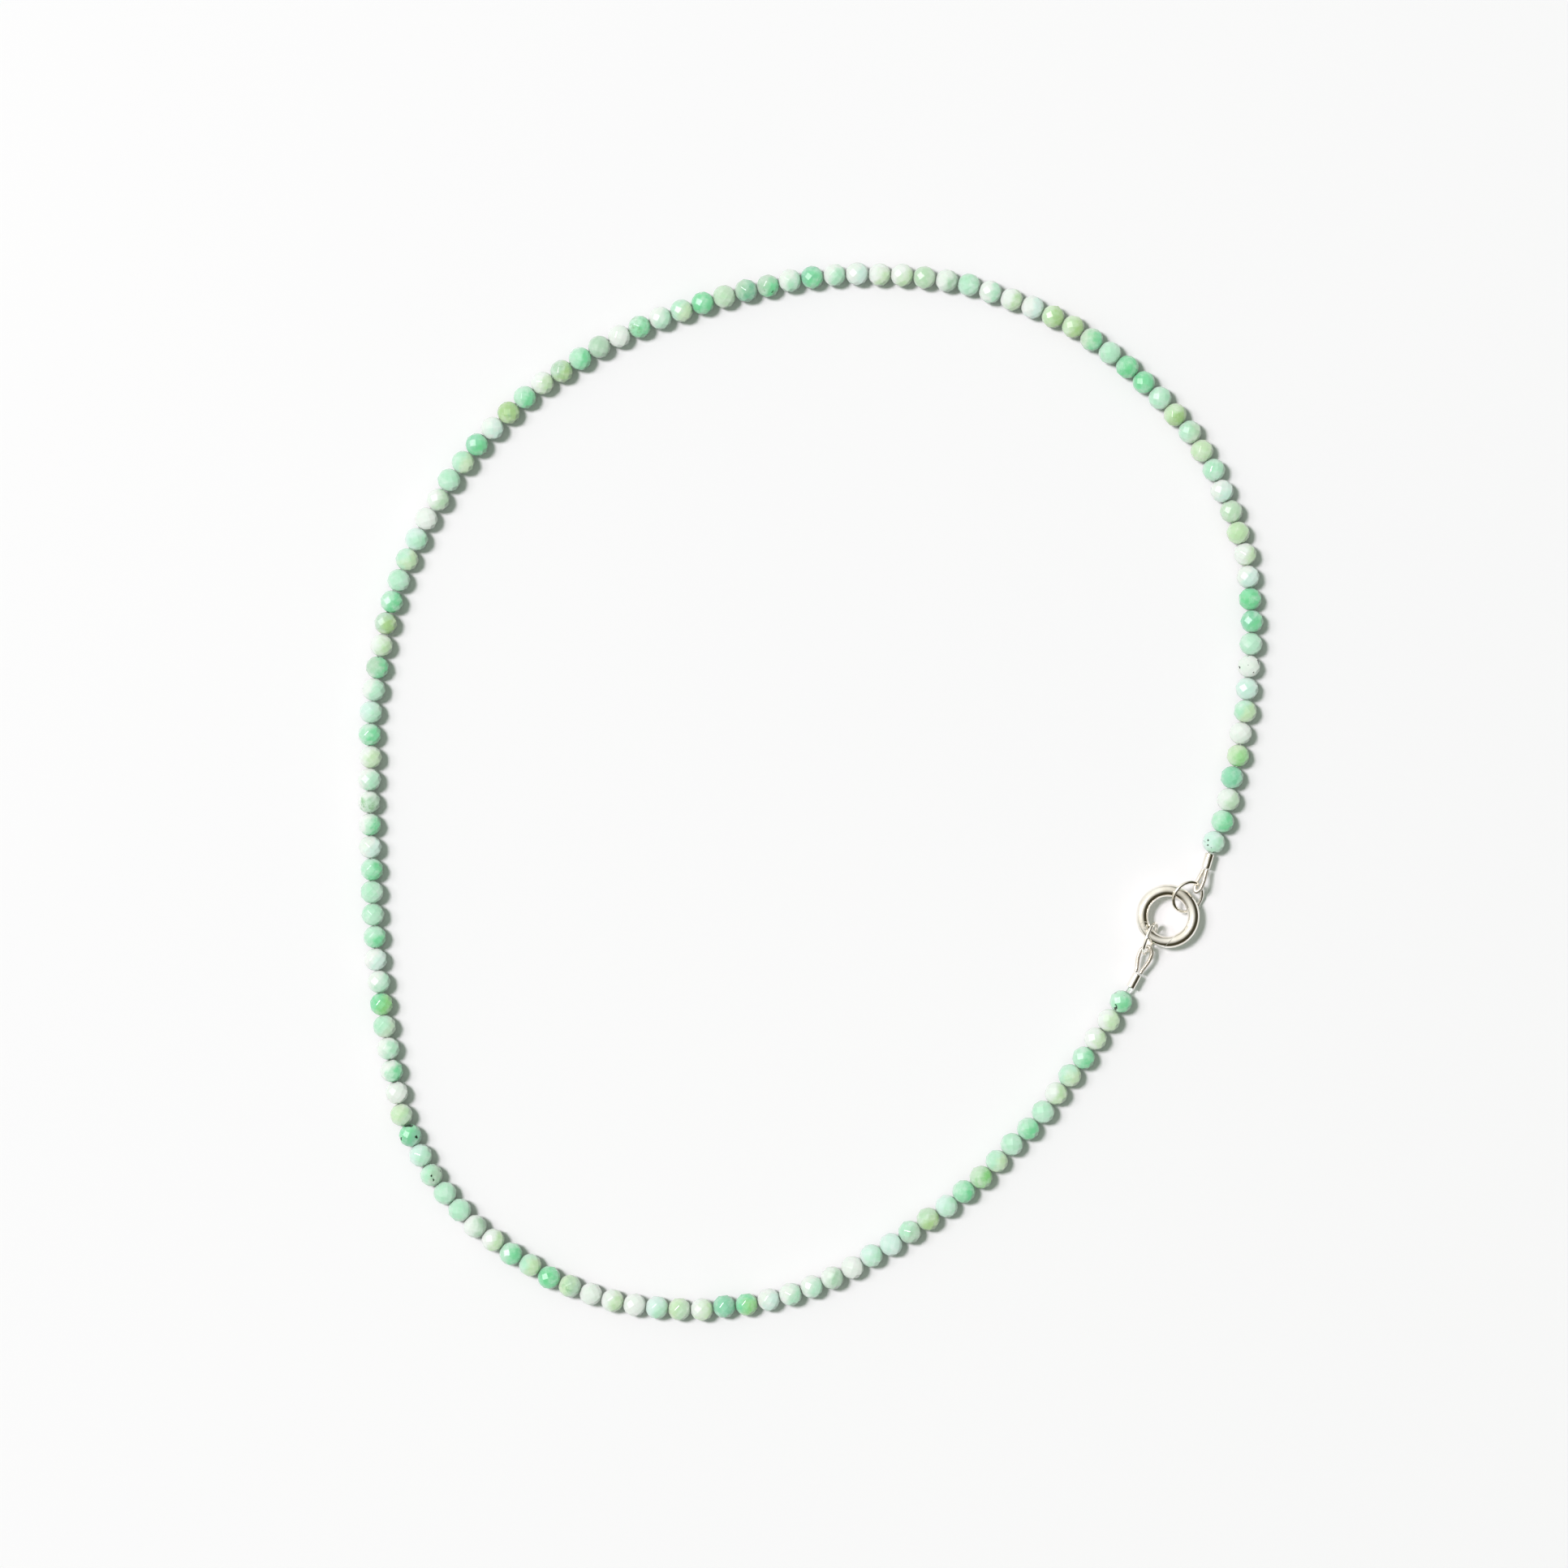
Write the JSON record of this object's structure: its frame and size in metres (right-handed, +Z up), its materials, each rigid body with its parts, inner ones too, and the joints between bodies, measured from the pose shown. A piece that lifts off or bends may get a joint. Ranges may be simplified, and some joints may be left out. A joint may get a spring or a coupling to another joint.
{
  "type": "beaded necklace",
  "caption": "Short necklace of small faceted green stone beads on one thread, closed by a round silver push-gate clasp, lying flat in an open loop.",
  "frame": {"origin": "on the surface that the necklace lies on, below the middle of its outer box", "axes": "+Y the long way across the loop, towards the end far from the clasp's free side; +X towards the clasp; +Z up from the surface"},
  "size_m": [0.1198, 0.1402, 0.0046],
  "materials": {
    "bead_stone": "polished facets, each bead its own shade from nearly clear to emerald green",
    "silver": "polished silver",
    "coil_silver": "fine wound silver wire"
  },
  "bodies": {
    "root": {"bead_strand_upper": "bead_stone", "bead_strand_lower": "bead_stone", "crimp_upper": "silver", "crimp_lower": "silver", "thread_loop_upper": "coil_silver", "thread_loop_lower": "coil_silver", "jump_ring_upper": "silver", "jump_ring_lower": "silver", "clasp_ring": "silver", "hinge_pin": "silver"},
    "gate": {"clasp_gate": "silver"}
  },
  "joints": [
    {"name": "gate_hinge", "type": "hinge", "parent": "root", "child": "gate", "pos_m": [0.04431, -0.01807, 0.00181], "axis": [0, 0, 1], "range_deg": [0, 25], "stiffness_Nm_per_rad": 0.002, "springref_deg": -8.59}
  ]
}
